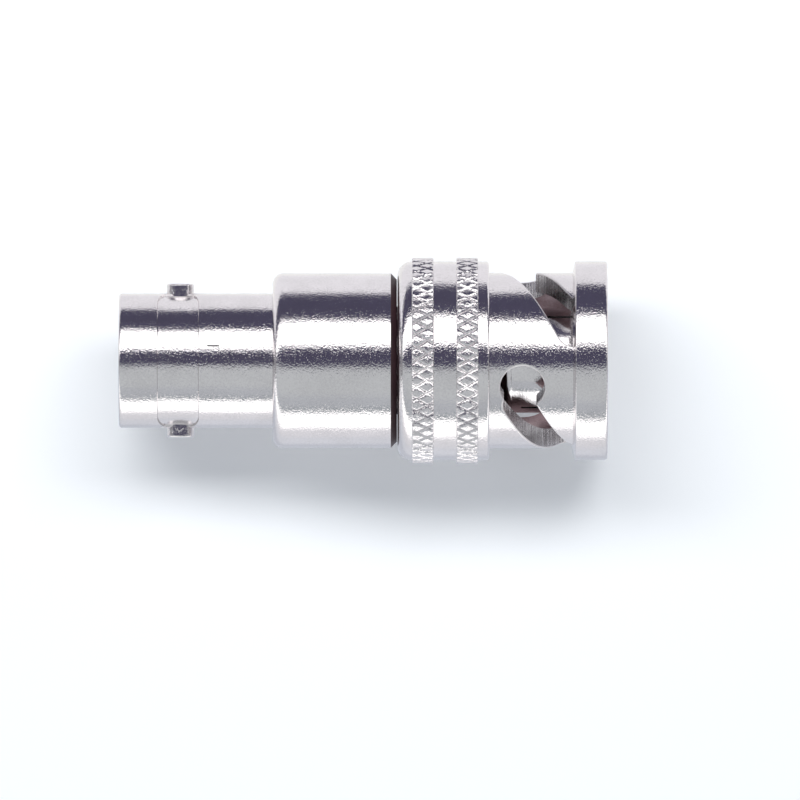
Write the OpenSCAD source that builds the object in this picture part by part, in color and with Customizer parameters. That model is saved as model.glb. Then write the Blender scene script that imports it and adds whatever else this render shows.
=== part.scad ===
// BNC jack to three-lug triaxial plug adapter, in millimetres.
// It stands on the jack's mouth at z = 0, with its axis on Z and the coupling nut at the top.

/* [Jack shell] */
// Outer diameter of the jack
jack_d = 9.65; // [9.2:0.05:10.6]
// Length of the jack from its mouth to the barrel
jack_len = 11.05; // [9.5:0.05:16]
// Thickness of its wall around the bore that takes a plug's outer contact
jack_wall = 0.765; // [0.6:0.005:0.9]
// Depth of that bore, down to the contact shoulder
jack_bore_depth = 5.25; // [4.8:0.05:6.5]
// Lead-in chamfer inside the mouth
mouth_chamfer = 0.25; // [0.1:0.05:0.35]
// Rounding of the outer rim at the mouth
rim_round = 0.2; // [0.1:0.05:0.35]
// Mouth to the near edge of the milled band
band_start = 2.76; // [2.2:0.02:3.2]
// Length of the milled band along the axis
band_len = 3; // [2.6:0.05:4]
// Depth of the milled band
band_depth = 0.12; // [0.06:0.02:0.2]
// Corner radius that the cutter leaves beside the lugs
band_corner = 0.65; // [0.3:0.05:0.9]
// Diameter of the two bayonet lugs
lug_d = 1.94; // [1.7:0.02:2.1]
// Distance across the tips of the lugs
lug_span = 11.05; // [10.9:0.05:12]
// Mouth to the middle of the lugs
lug_z = 4.4; // [4:0.05:5]
// Step down from the jack to the shank pressed into the barrel
shank_step = 0.425; // [0.2:0.025:0.6]
// Thickness of the shank's wall around the insulator
shank_wall = 1.1; // [0.8:0.05:1.4]
// Height of the lip that stops the insulator
lip_h = 0.3; // [0.2:0.05:0.5]
// Thickness of that lip
lip_t = 0.6; // [0.4:0.05:1]

/* [Barrel] */
// Outer diameter of the barrel
barrel_d = 12.56; // [12:0.05:14]
// Length of the barrel
barrel_len = 8.92; // [8:0.05:14]
// Rounding of its edge at the jack
barrel_round = 0.75; // [0.3:0.05:1.2]
// Length of the chamfer at the nut
barrel_chamfer_len = 0.43; // [0.2:0.01:0.8]
// Depth of the chamfer at the nut
barrel_chamfer_depth = 0.45; // [0.2:0.01:0.8]

/* [Plug body] */
// Diameter of the neck that the nut turns on
neck_d = 7.8; // [7.5:0.05:8.1]
// Length of the neck pressed into the barrel
neck_press_len = 3.97; // [3:0.05:4.5]
// Thickness of the neck's wall around the insulators
neck_wall = 0.55; // [0.45:0.05:0.7]
// Width of the collar that the springs push on, outside the wider of neck and sleeve
collar_w = 0.8; // [0.6:0.05:1]
// Thickness of the collar
collar_t = 0.8; // [0.5:0.05:1.2]
// Diameter of the outer contact sleeve
sleeve_d = 7.52; // [7.2:0.02:7.8]
// Thickness of the sleeve's wall
sleeve_wall = 0.56; // [0.4:0.02:0.7]
// Nut's mouth to the tip of the sleeve
sleeve_recess = 1.7; // [1:0.05:2.5]
// Height of the contact bead above the sleeve
bead_h = 0.14; // [0.06:0.02:0.2]
// Length of the contact bead
bead_len = 0.62; // [0.5:0.02:0.8]
// Collar's front face to the bead
bead_start = 3.66; // [2:0.02:4.5]
// Number of spring fingers
finger_count = 6; // [4:1:8]
// Width of the slits between the fingers
finger_slit_w = 0.25; // [0.15:0.05:0.4]
// Length of the slits from the tip
finger_len = 4.5; // [3:0.05:5]
// Direction of the first slit
finger_phase = 34; // [0:1:60]

/* [Coupling nut] */
// Length of the nut
nut_len = 15.08; // [14:0.05:20]
// Diameter of the smooth part of the grip
grip_d = 14.28; // [13.6:0.05:15]
// Length of the grip from the rear face
grip_len = 6.58; // [6.2:0.05:8]
// Rounding of the grip's rear edge
grip_round = 1; // [0.4:0.05:1.2]
// Rounding of the grip's front edge
grip_edge = 0.2; // [0.1:0.05:0.4]
// Height of the knurled bands above the grip
knurl_h = 0.25; // [0.15:0.01:0.4]
// Width of each knurled band
knurl_w = 1.56; // [1:0.02:2]
// Rear face to the first knurled band
knurl_start = 1.03; // [1:0.01:1.6]
// Step from the first band to the second
knurl_step = 3.2; // [2.5:0.05:3.5]
// Grooves of one hand around a band
knurl_count = 48; // [30:1:60]
// Height of the groove bottoms above the grip
knurl_floor = 0.1; // [0.04:0.01:0.14]
// Thickness of the slotted wall
nut_wall = 1.41; // [1.1:0.01:1.6]
// Diameter of the end flange
flange_d = 14.28; // [13.6:0.05:15]
// Thickness of the end flange
flange_t = 2.5; // [2:0.05:3.5]
// Rounding of the flange's edges
flange_edge = 0.2; // [0.1:0.05:0.4]
// Gap between the plug body's collar and the nut's bore
collar_gap = 0.2; // [0.18:0.02:0.4]
// Thickness of the nut's rear wall
rear_wall_t = 1.58; // [1.2:0.02:2]
// Lead-in chamfer inside the nut's mouth
nut_chamfer = 0.3; // [0.1:0.05:0.5]
// Number of bayonet slots
slot_count = 3; // [2:1:3]
// Width of the bayonet slots
slot_w = 2.5; // [2.2:0.05:2.7]
// Diameter of the locking hole at the end of each slot
lock_d = 3.41; // [3:0.02:3.6]
// Flange to the middle of the locking holes
lock_z = 3.63; // [3.3:0.02:3.9]
// Turn from the locking hole to the end of the slot beside it
slot_near = 13; // [11:1:16]
// How far the slot's end lies behind the locking hole's middle
slot_drop = 0.25; // [0:0.05:0.4]
// Turn from the locking hole to the lug groove
slot_far = 82; // [75:1:90]
// Direction of the first locking hole
slot_phase = -71.8; // [-90:0.1:90]
// Depth of the lug grooves in the nut's bore
groove_depth = 0.85; // [0.7:0.05:1.1]

/* [Washers and gasket] */
// Thickness of the thrust washer
thrust_t = 0.25; // [0.2:0.01:0.4]
// Width of the washers' rings
washer_w = 0.74; // [0.6:0.02:0.8]
// Height of the two wave washers together
wave_stack = 1.35; // [1.2:0.05:1.6]
// Thickness of each wave washer
wave_t = 0.2; // [0.15:0.01:0.25]
// Waves around each wave washer
wave_count = 3; // [3:1:5]
// Thickness of the gasket
gasket_t = 0.5; // [0.3:0.05:0.8]
// Width of the gasket's ring
gasket_w = 0.88; // [0.6:0.02:1]

/* [Contacts] */
// Diameter of the socket contact
contact_d = 2.1; // [1.9:0.02:2.2]
// Thickness of the socket's wall
contact_wall = 0.36; // [0.28:0.01:0.4]
// Mouth to the tip of the socket contact
contact_recess = 0.9; // [0.6:0.05:1.4]
// Depth of the socket
contact_depth = 5.6; // [5:0.1:7]
// Length of the slits in the socket
tine_len = 4; // [3:0.1:5]
// Width of the slits in the contacts
tine_slit_w = 0.22; // [0.15:0.01:0.3]
// Width of the socket contact's collar
contact_collar_w = 0.55; // [0.3:0.05:0.8]
// Thickness of that collar
contact_collar_t = 1; // [0.6:0.05:1.5]
// Diameter of the pin
pin_d = 1.36; // [1.3:0.02:1.5]
// Nut's mouth to the tip of the pin
pin_recess = 3.1; // [2.6:0.05:4]
// Step down from the pin to its tail in the socket contact
tail_step = 0.18; // [0.1:0.02:0.25]
// Length of the tail
tail_len = 2.3; // [1.5:0.05:2.4]
// Length of the pin's shoulder
pin_shoulder = 1; // [0.6:0.05:1.2]
// Outer diameter of the guard sleeve
guard_d = 4.1; // [3.9:0.02:4.4]
// Thickness of the guard sleeve's wall
guard_wall = 0.4; // [0.3:0.02:0.5]
// Nut's mouth to the tip of the guard sleeve
guard_recess = 2.5; // [2:0.05:4]
// Width of the guard sleeve's collar
guard_collar_w = 0.45; // [0.3:0.05:0.6]
// Thickness of the guard sleeve's collar
guard_collar_t = 1.2; // [0.8:0.05:1.6]
// Length of the slits in the guard sleeve
guard_slit_len = 3.5; // [2:0.1:4]

/* [Insulators] */
// Diameter of the jack insulator's nose
nose_d = 4.8; // [4.4:0.02:5]
// Mouth to the end of the nose
nose_recess = 0.3; // [0.1:0.05:0.5]
// Clear length between the jack's shank and the plug body inside the barrel
inner_break = 0.95; // [0.5:0.05:1.2]
// Length of the spacer inside each neighbour
spacer_lap = 0.6; // [0.3:0.05:0.9]
// Thickness of the disc behind the guard
disc_t = 2; // [1.6:0.05:2.4]
// Length of the guard insulator's thick part
guard_seat_len = 3.4; // [2.5:0.05:4]
// Nut's mouth to the front of the guard insulator
guard_insulator_recess = 8.6; // [7:0.1:9.5]
// Nut's mouth to the front of the pin insulator
pin_insulator_recess = 7.1; // [6:0.1:9]

/* [Clearances] */
// Radial gap of pressed and trapped pieces
press_gap = 0.01; // [0.01:0.01:0.03]
// Radial gap where the nut and the washers move on the neck
run_gap = 0.06; // [0.03:0.01:0.1]
// Gap between the nut's rear face and the barrel
end_gap = 0.05; // [0.03:0.01:0.1]
// Gap between the wave washers and what they rest on
wave_gap = 0.02; // [0.01:0.01:0.04]

/* [Hidden] */
$fn = 96;

nickel = [0.77, 0.77, 0.79];
ptfe = [0.95, 0.95, 0.93];
gold = [0.85, 0.67, 0.32];
silicone = [0.5, 0.16, 0.12];
spring_steel = [0.62, 0.6, 0.56];

// Overlap of cutting tools past the faces they cut
over = 0.5;
// Half diamonds along a knurled band, the last ones cut through by its ends
knurl_rows = 3;

// Diameters that follow from the walls and steps, from the jack to the nut
jack_bore_d = jack_d - 2 * jack_wall;
shank_d = jack_d - 2 * shank_step;
shell_bore_d = shank_d - 2 * shank_wall;
lip_bore_d = shell_bore_d - 2 * lip_h;
neck_bore_d = neck_d - 2 * neck_wall;
collar_d = max(neck_d, sleeve_d) + 2 * collar_w;
sleeve_bore_d = sleeve_d - 2 * sleeve_wall;
bead_d = sleeve_d + 2 * bead_h;
gasket_d = sleeve_d + 2 * gasket_w;
washer_bore_d = neck_d + 2 * run_gap;
washer_d = washer_bore_d + 2 * washer_w;
nut_bore_d = collar_d + 2 * collar_gap;
slotted_d = nut_bore_d + 2 * nut_wall;
groove_d = nut_bore_d + 2 * groove_depth;
knurl_d = grip_d + 2 * knurl_h;
contact_bore_d = contact_d - 2 * contact_wall;
contact_collar_d = contact_d + 2 * contact_collar_w;
tail_d = pin_d - 2 * tail_step;
guard_bore_d = guard_d - 2 * guard_wall;
guard_collar_d = guard_d + 2 * guard_collar_w;

// Stations along the axis, from the mouth of the jack up
barrel_end = jack_len + barrel_len;
plug_rear = barrel_end - neck_press_len;
shank_end = plug_rear - inner_break;
spacer_start = shank_end - spacer_lap;
disc_start = plug_rear + spacer_lap;
guard_rear = disc_start + disc_t;
guard_seat_end = guard_rear + guard_seat_len;
nut_rear = barrel_end + end_gap;
nut_top = nut_rear + nut_len;
flange_z = nut_top - flange_t;
knurl_starts = [nut_rear + knurl_start, nut_rear + knurl_start + knurl_step];
thrust_z = nut_rear + rear_wall_t;
wave_z = thrust_z + thrust_t;
collar_z = wave_z + wave_stack;
collar_top = collar_z + collar_t;
sleeve_tip = nut_top - sleeve_recess;
bead_z = collar_top + bead_start;
insulator_step = jack_bore_depth + lip_t;
contact_end = disc_start + (disc_t - pin_shoulder) / 2;
pin_tip = nut_top - pin_recess;
guard_tip = nut_top - guard_recess;

// Wave washers: the second one nests behind the first
wave_pitch = wave_t + wave_gap;
wave_rise = wave_stack - 2 * wave_gap - wave_t - wave_pitch;

// Slot path, unrolled on the slotted part: millimetres of arc for one degree
arc_mm = PI * slotted_d / 360;
slot_start_z = flange_z - lock_z - slot_drop;
slot_run = arc_mm * (slot_far - slot_near);
slot_climb = flange_z - slot_start_z;
slot_length = norm([slot_run, slot_climb]);
slot_stations = 18;

// Rectangle from one corner to the other, radius first and height second
module span(r0, z0, r1, z1) {
    translate([r0, z0])
        square([r1 - r0, z1 - z0]);
}

// What a rounding takes off a corner; out and up are 1 or -1, the way the corner points
module corner_cut(r, z, radius, out, up) {
    translate([r, z])
        mirror([out > 0 ? 1 : 0, 0])
            mirror([0, up > 0 ? 1 : 0])
                difference() {
                    translate([-over, -over])
                        square(radius + over);
                    translate([radius, radius])
                        circle(radius);
                }
}

// What a chamfer takes off a corner, as wide as it is long
module chamfer_cut(r, z, size, out, up) {
    polygon([[r, z + up * over], [r + out * over, z], [r, z - up * size], [r - out * size, z]]);
}

// Plain tube
module tube(d, bore, z0, z1) {
    translate([0, 0, z0])
        difference() {
            cylinder(d = d, h = z1 - z0);
            translate([0, 0, -over])
                cylinder(d = bore, h = z1 - z0 + 2 * over);
        }
}

// Straight slits through a wall, evenly round the axis, from z0 to z1
module slits(count, width, reach, z0, z1, phase) {
    for (i = [0:count - 1])
        rotate([0, 0, phase + i * 360 / count])
            translate([0, -width / 2, z0])
                cube([reach, width, z1 - z0]);
}

// Round tool that points at the axis
module radial_tool(d, angle, z, r0, r1) {
    rotate([0, 0, angle])
        translate([r0, 0, z])
            rotate([0, 90, 0])
                cylinder(d = d, h = r1 - r0);
}

// Rounded rectangle about the origin
module rounded_rect(w, h, radius) {
    square([w - 2 * radius, h], center = true);
    square([w, h - 2 * radius], center = true);
    for (x = [-1, 1], y = [-1, 1])
        translate([x * (w / 2 - radius), y * (h / 2 - radius)])
            circle(radius);
}

// The band that is milled round the jack between its lugs, with round corners beside them
module milled_band() {
    floor_d = jack_d - 2 * band_depth;
    difference() {
        translate([0, jack_d, band_start + band_len / 2])
            rotate([90, 0, 0])
                linear_extrude(2 * jack_d)
                    rounded_rect(floor_d + band_depth, band_len, band_corner);
        translate([0, 0, band_start - over])
            cylinder(d = floor_d, h = band_len + 2 * over);
    }
}

module jack_shell() {
    color(nickel)
    difference() {
        union() {
            difference() {
                rotate_extrude()
                    difference() {
                        union() {
                            span(0, 0, jack_d / 2, jack_len);
                            span(0, jack_len - over, shank_d / 2 - press_gap, shank_end);
                        }
                        corner_cut(jack_d / 2, 0, rim_round, 1, -1);
                    }
                milled_band();
            }
            for (side = [0, 180])
                radial_tool(lug_d, side, lug_z, jack_bore_d / 2, lug_span / 2);
        }
        rotate_extrude()
            union() {
                span(0, -over, jack_bore_d / 2, jack_bore_depth);
                span(0, -over, lip_bore_d / 2, insulator_step + over);
                span(0, insulator_step, shell_bore_d / 2, shank_end + over);
                chamfer_cut(jack_bore_d / 2, 0, mouth_chamfer, -1, -1);
            }
    }
}

module jack_insulator() {
    color(ptfe)
    rotate_extrude()
        difference() {
            union() {
                span(0, nose_recess, nose_d / 2, insulator_step + over);
                span(0, jack_bore_depth, lip_bore_d / 2 - press_gap, insulator_step + over);
                span(0, insulator_step, shell_bore_d / 2 - press_gap, spacer_start);
            }
            span(0, nose_recess - over, contact_d / 2 + press_gap, spacer_start + over);
            span(0, spacer_start - contact_collar_t, contact_collar_d / 2 + press_gap, spacer_start + over);
        }
}

module socket_contact() {
    tine_end = contact_recess + tine_len;
    color(gold)
    difference() {
        rotate_extrude()
            difference() {
                union() {
                    span(0, contact_recess, contact_d / 2, contact_end);
                    span(0, spacer_start - contact_collar_t, contact_collar_d / 2, spacer_start);
                }
                span(0, contact_recess - over, contact_bore_d / 2, contact_recess + contact_depth);
                span(0, contact_end - tail_len, tail_d / 2 + press_gap, contact_end + over);
                chamfer_cut(contact_bore_d / 2, contact_recess, (contact_d - contact_bore_d) / 5, -1, -1);
            }
        slits(4, tine_slit_w, contact_d, contact_recess - over, tine_end, 45);
    }
}

module rear_spacer() {
    color(ptfe)
        tube(min(shell_bore_d, neck_bore_d) - 2 * press_gap, contact_d + 2 * press_gap,
            spacer_start, disc_start);
}

module barrel() {
    color(nickel)
    rotate_extrude()
        difference() {
            span(0, jack_len, barrel_d / 2, barrel_end);
            span(0, jack_len - over, shank_d / 2, plug_rear);
            span(0, jack_len - over, neck_d / 2, barrel_end + over);
            corner_cut(barrel_d / 2, jack_len, barrel_round, 1, -1);
            polygon([
                [barrel_d / 2 - barrel_chamfer_depth, barrel_end],
                [barrel_d / 2, barrel_end - barrel_chamfer_len],
                [barrel_d / 2 + over, barrel_end - barrel_chamfer_len],
                [barrel_d / 2 + over, barrel_end + over],
                [barrel_d / 2 - barrel_chamfer_depth, barrel_end + over]
            ]);
        }
}

module plug_body() {
    bead_r = bead_len / 2;
    color(nickel)
    difference() {
        rotate_extrude()
            difference() {
                union() {
                    span(0, plug_rear, neck_d / 2 - press_gap, collar_z + over / 2);
                    span(0, collar_z, collar_d / 2, collar_top);
                    span(0, collar_z, sleeve_d / 2, sleeve_tip);
                    translate([bead_d / 2 - bead_r, bead_z + bead_r])
                        circle(bead_r);
                }
                span(0, plug_rear - over, neck_bore_d / 2, guard_seat_end);
                span(0, plug_rear - over, sleeve_bore_d / 2, sleeve_tip + over);
                corner_cut(sleeve_d / 2, sleeve_tip, (sleeve_d - sleeve_bore_d) / 4, 1, 1);
            }
        slits(finger_count, finger_slit_w, sleeve_d, sleeve_tip - finger_len, sleeve_tip + over,
            finger_phase);
    }
}

module gasket() {
    color(silicone)
        tube(gasket_d, sleeve_d + 2 * press_gap, collar_top, collar_top + gasket_t);
}

module guard_insulator() {
    color(ptfe)
    rotate_extrude()
        difference() {
            union() {
                span(0, guard_rear, neck_bore_d / 2 - press_gap, guard_seat_end);
                span(0, guard_rear, sleeve_bore_d / 2 - press_gap, nut_top - guard_insulator_recess);
            }
            span(0, guard_rear - over, guard_d / 2 + press_gap, nut_top);
            span(0, guard_rear - over, guard_collar_d / 2 + press_gap, guard_rear + guard_collar_t);
        }
}

module guard_sleeve() {
    color(nickel)
    difference() {
        rotate_extrude()
            difference() {
                union() {
                    span(0, guard_rear, guard_d / 2, guard_tip);
                    span(0, guard_rear, guard_collar_d / 2, guard_rear + guard_collar_t);
                }
                span(0, guard_rear - over, guard_bore_d / 2, guard_tip + over);
                corner_cut(guard_d / 2, guard_tip, (guard_d - guard_bore_d) / 4, 1, 1);
            }
        slits(4, tine_slit_w, guard_d, guard_tip - guard_slit_len, guard_tip + over, 45);
    }
}

module pin_insulator() {
    shoulder_end = contact_end + pin_shoulder;
    color(ptfe)
    rotate_extrude()
        difference() {
            union() {
                span(0, disc_start, neck_bore_d / 2 - press_gap, guard_rear);
                span(0, disc_start, guard_bore_d / 2 - press_gap, nut_top - pin_insulator_recess);
            }
            span(0, disc_start - over, contact_d / 2 + press_gap, shoulder_end);
            span(0, disc_start - over, pin_d / 2 + press_gap, nut_top);
        }
}

module center_pin() {
    color(gold)
    rotate_extrude()
        difference() {
            union() {
                span(0, contact_end - tail_len, tail_d / 2, contact_end + over);
                span(0, contact_end, contact_d / 2, contact_end + pin_shoulder);
                span(0, contact_end, pin_d / 2, pin_tip);
            }
            corner_cut(pin_d / 2, pin_tip, pin_d * 0.4, 1, 1);
        }
}

module thrust_washer() {
    color(spring_steel)
        tube(washer_d, washer_bore_d, thrust_z, wave_z);
}

// Ring whose mid-plane waves up and down round the axis, with its lowest points at z0
module wave_washer(z0) {
    steps = 24 * wave_count;
    r_in = washer_bore_d / 2;
    r_out = washer_d / 2;
    heights = [for (i = [0:steps - 1]) z0 + wave_rise * (1 - cos(i * 360 / steps * wave_count)) / 2];
    points = [
        for (i = [0:steps - 1], corner = [[r_in, 0], [r_out, 0], [r_out, wave_t], [r_in, wave_t]])
            [
                corner[0] * cos(i * 360 / steps),
                corner[0] * sin(i * 360 / steps),
                heights[i] + corner[1]
            ]
    ];
    faces = [
        for (i = [0:steps - 1], j = [0:3])
            let (n = (i + 1) % steps, k = (j + 1) % 4)
                [4 * i + j, 4 * n + j, 4 * n + k, 4 * i + k]
    ];
    polyhedron(points, faces);
}

module front_wave_washer() {
    color(spring_steel)
        wave_washer(wave_z + wave_gap + wave_pitch);
}

module rear_wave_washer() {
    color(spring_steel)
        wave_washer(wave_z + wave_gap);
}

// Helical cut with a radial wall on each side, swept square to its path
module slot_helix(r0, r1) {
    side_turn = slot_w / 2 * slot_climb / slot_length / arc_mm;
    side_climb = slot_w / 2 * slot_run / slot_length;
    points = [
        for (i = [0:slot_stations], edge = [[1, r1], [1, r0], [-1, r0], [-1, r1]])
            let (
                share = i / slot_stations,
                turn = slot_near + share * (slot_far - slot_near) - edge[0] * side_turn,
                height = slot_start_z + share * slot_climb + edge[0] * side_climb
            )
                [edge[1] * cos(turn), edge[1] * sin(turn), height]
    ];
    last = 4 * slot_stations;
    faces = concat(
        [[3, 2, 1, 0], [last, last + 1, last + 2, last + 3]],
        [
            for (i = [0:slot_stations - 1], j = [0:3], half = [0, 1])
                let (k = (j + 1) % 4, a = 4 * i, b = a + 4)
                    half == 0 ? [a + j, a + k, b + k] : [a + j, b + k, b + j]
        ]
    );
    polyhedron(points, faces);
}

// One bayonet slot: the helix, its two round ends and the locking hole
module bayonet_slot() {
    r0 = nut_bore_d / 2 - over;
    r1 = slotted_d / 2 + over;
    slot_helix(r0, r1);
    radial_tool(slot_w, slot_near, slot_start_z, r0, r1);
    radial_tool(slot_w, slot_far, flange_z, r0, r1);
    radial_tool(lock_d, 0, flange_z - lock_z, r0, r1);
}

// Grip, slotted wall and rear wall of the nut, in section
module nut_section() {
    grip_top = nut_rear + grip_len;
    difference() {
        union() {
            span(0, nut_rear, slotted_d / 2, flange_z);
            difference() {
                span(0, nut_rear, grip_d / 2, grip_top);
                corner_cut(grip_d / 2, nut_rear, grip_round, 1, -1);
                corner_cut(grip_d / 2, grip_top, grip_edge, 1, 1);
            }
        }
        span(0, nut_rear - over, neck_d / 2 + run_gap, nut_top);
        span(0, thrust_z, nut_bore_d / 2, nut_top);
    }
}

// Diamond knurl of one band: rows of points, deep at the crossings of its grooves and high between them
module knurl_band(z0) {
    columns = 2 * knurl_count;
    points = [
        for (row = [0:knurl_rows], i = [0:columns - 1])
            let (
                r = knurl_d / 2 - (row + i + 1) % 2 * (knurl_h - knurl_floor),
                turn = i * 360 / columns
            )
                [r * cos(turn), r * sin(turn), z0 + (2 * row - 1) / 4 * knurl_w]
    ];
    diamonds = [
        for (row = [0:knurl_rows - 1], i = [0:columns - 1], half = [0, 1])
            let (
                a = row * columns + i,
                d = row * columns + (i + 1) % columns,
                b = a + columns,
                c = d + columns
            )
                (row + i) % 2 == 0
                    ? (half == 0 ? [a, b, c] : [a, c, d])
                    : (half == 0 ? [a, b, d] : [b, c, d])
    ];
    ends = [
        [for (i = [0:columns - 1]) i],
        [for (i = [columns - 1:-1:0]) knurl_rows * columns + i]
    ];
    intersection() {
        tube(knurl_d + 2 * over, slotted_d, z0, z0 + knurl_w);
        polyhedron(points, concat(diamonds, ends));
    }
}

module coupling_nut() {
    color(nickel)
    union() {
        for (z = knurl_starts)
            knurl_band(z);
        difference() {
            rotate_extrude()
                nut_section();
            for (i = [0:slot_count - 1])
                rotate([0, 0, slot_phase + i * 360 / slot_count])
                    bayonet_slot();
        }
        difference() {
            rotate_extrude()
                difference() {
                    span(nut_bore_d / 2, flange_z, flange_d / 2, nut_top);
                    corner_cut(flange_d / 2, flange_z, flange_edge, 1, -1);
                    corner_cut(flange_d / 2, nut_top, flange_edge, 1, 1);
                    chamfer_cut(nut_bore_d / 2, nut_top, nut_chamfer, -1, 1);
                }
            for (i = [0:slot_count - 1])
                rotate([0, 0, slot_phase + slot_far + i * 360 / slot_count])
                    translate([0, -slot_w / 2, flange_z - over])
                        cube([groove_d / 2, slot_w, flange_t + 2 * over]);
        }
    }
}

jack_shell();
jack_insulator();
socket_contact();
rear_spacer();
barrel();
plug_body();
gasket();
guard_insulator();
guard_sleeve();
pin_insulator();
center_pin();
thrust_washer();
front_wave_washer();
rear_wave_washer();
coupling_nut();
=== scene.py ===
import math

import bmesh
import bpy
import numpy as np
from mathutils import Matrix


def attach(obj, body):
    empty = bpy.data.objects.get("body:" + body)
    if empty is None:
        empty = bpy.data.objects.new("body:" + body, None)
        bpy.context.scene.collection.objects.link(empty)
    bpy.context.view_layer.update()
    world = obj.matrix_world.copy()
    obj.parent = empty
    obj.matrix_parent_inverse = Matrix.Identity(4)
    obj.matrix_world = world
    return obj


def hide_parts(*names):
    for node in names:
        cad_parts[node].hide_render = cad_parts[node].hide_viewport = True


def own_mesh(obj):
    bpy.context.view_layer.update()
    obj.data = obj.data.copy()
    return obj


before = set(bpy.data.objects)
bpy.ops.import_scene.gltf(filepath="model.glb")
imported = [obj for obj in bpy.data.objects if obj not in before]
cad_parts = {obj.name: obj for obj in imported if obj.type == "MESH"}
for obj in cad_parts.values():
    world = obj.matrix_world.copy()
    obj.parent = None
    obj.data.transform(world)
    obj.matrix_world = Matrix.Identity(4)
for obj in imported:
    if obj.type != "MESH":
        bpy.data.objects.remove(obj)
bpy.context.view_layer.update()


# Jack shell: the bayonet jack, turned from one piece of brass and bright nickel plated. A shallow band is
# milled round it between its two lugs, and the thin shank behind it is pressed into the barrel.
MM = 0.001
COLUMNS = 216
MERGE_WITHIN = 2e-4
scene = bpy.context.scene

JACK_R = 4.825
JACK_LEN = 11.05
JACK_RIM = 0.2
JACK_BORE_R = 4.06
JACK_BORE_END = 5.25
MOUTH_CHAMFER = 0.25
MOUTH_EDGE = 0.06
LIP_R = 3.0
LIP_END = 5.85
SHELL_BORE_R = 3.3
SHANK_R = 4.39
SHANK_END = 15.05
SHANK_EDGE = 0.1

BAND_FLOOR_R = 4.705
BAND_START = 2.76
BAND_END = 5.76
BAND_REACH = 4.765
BAND_CORNER = 0.65
BAND_SLOPE = 0.055
ROWS_BELOW_BAND = 24
ROWS_ON_BAND = 31
ROWS_ABOVE_BAND = 12

LUG_R = 0.97
LUG_REACH = 5.525
LUG_ROOT = 4.2
LUG_HEIGHT = 4.4
LUG_EDGE = 0.12
LUG_COLUMNS = 48
EDGE_CLEAR = 1.3

NICK_TURN = math.radians(-102.4)
NICK_HEIGHT = 6.86
NICK_LENGTH = 0.86
NICK_WIDTH = 0.1
SCRAPED = (0.02, 0.02, 0.02, 1)

SCRATCH_POINT = 5.22
SCRATCH_HEIGHT = 4.42
SCRATCH_SLOPE = 0.85
SCRATCH_HALF = 0.32
SCRATCH_WIDTH = 0.11
SCRATCH_DEPTH = 0.04
SCRATCH_ROUGHNESS = 0.3

DULL_REACH = (1.1, 1.7)
DULL_ROUGHNESS = 0.42

NICKEL = (0.785, 0.757, 0.765, 1)
NICKEL_DULL = (0.72, 0.694, 0.70, 1)
GRAIN_SCALE = 7500
LINE_SCALE = 11000
FACE_LINES = 1.4
PIT_SCALE = 9000
PIT_EDGES = (0.02, 0.33)
PIT_DEPTH = 4.2
CLOUD_SCALE = 420
CLOUD_EDGES = (0.7, 1.1)
SPECKS = 0.8


def outline(corners, steps=5):
    """Closed outline of (radius, height) points, counter-clockwise. Each corner is (radius, height,
    rounding), and a rounding becomes an arc that touches the corner's two sides."""
    spots = np.array([corner[:2] for corner in corners], float)
    back = np.roll(spots, 1, 0) - spots
    ahead = np.roll(spots, -1, 0) - spots
    back /= np.linalg.norm(back, axis=1)[:, None]
    ahead /= np.linalg.norm(ahead, axis=1)[:, None]
    share = np.linspace(0, 1, steps + 1)[:, None]
    rows = []
    for spot, b, a, rounding in zip(spots, back, ahead, (corner[2] for corner in corners)):
        if not rounding:
            rows.append(spot[None])
            continue
        half = math.acos(b @ a) / 2
        sweep = math.pi - 2 * half
        centre = spot + (b + a) / np.linalg.norm(b + a) * rounding / math.sin(half)
        start = spot + b * rounding / math.tan(half) - centre
        end = spot + a * rounding / math.tan(half) - centre
        arc = (np.sin((1 - share) * sweep) * start + np.sin(share * sweep) * end) / math.sin(sweep)
        rows.append(centre + arc)
    return np.concatenate(rows)


def on_wall(radius, turn, height):
    """Points at a radius and a turn from the axis and at a height along it."""
    radius, turn, height = np.broadcast_arrays(radius, turn, height)
    return np.stack([radius * np.cos(turn), radius * np.sin(turn), height], -1).reshape(-1, 3)


def ring_faces(rows, columns, closed):
    """Quads between neighbouring rows of points, each row a full ring of columns; a closed set of rows joins
    its last row to its first."""
    i, j = np.meshgrid(np.arange(rows if closed else rows - 1), np.arange(columns), indexing="ij")
    i_next, j_next = (i + 1) % rows, (j + 1) % columns
    corners = [i * columns + j, i * columns + j_next, i_next * columns + j_next, i_next * columns + j]
    return np.stack(corners, -1).reshape(-1, 4)


def turned(points, columns=COLUMNS):
    """Surface of revolution: the outline's point i, turned through column j's share of a full turn."""
    turn = np.arange(columns) * 2 * np.pi / columns
    return on_wall(points[:, :1], turn, points[:, 1:]), ring_faces(len(points), columns, True)


def slope_of(distance, turn, height, radius, step=0.002):
    """Slope of a distance on an unrolled wall, along its arc and up it, from points a step to either side."""
    along = distance(turn + step / radius, height) - distance(turn - step / radius, height)
    up = distance(turn, height + step) - distance(turn, height - step)
    return along / (2 * step), up / (2 * step)


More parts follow.
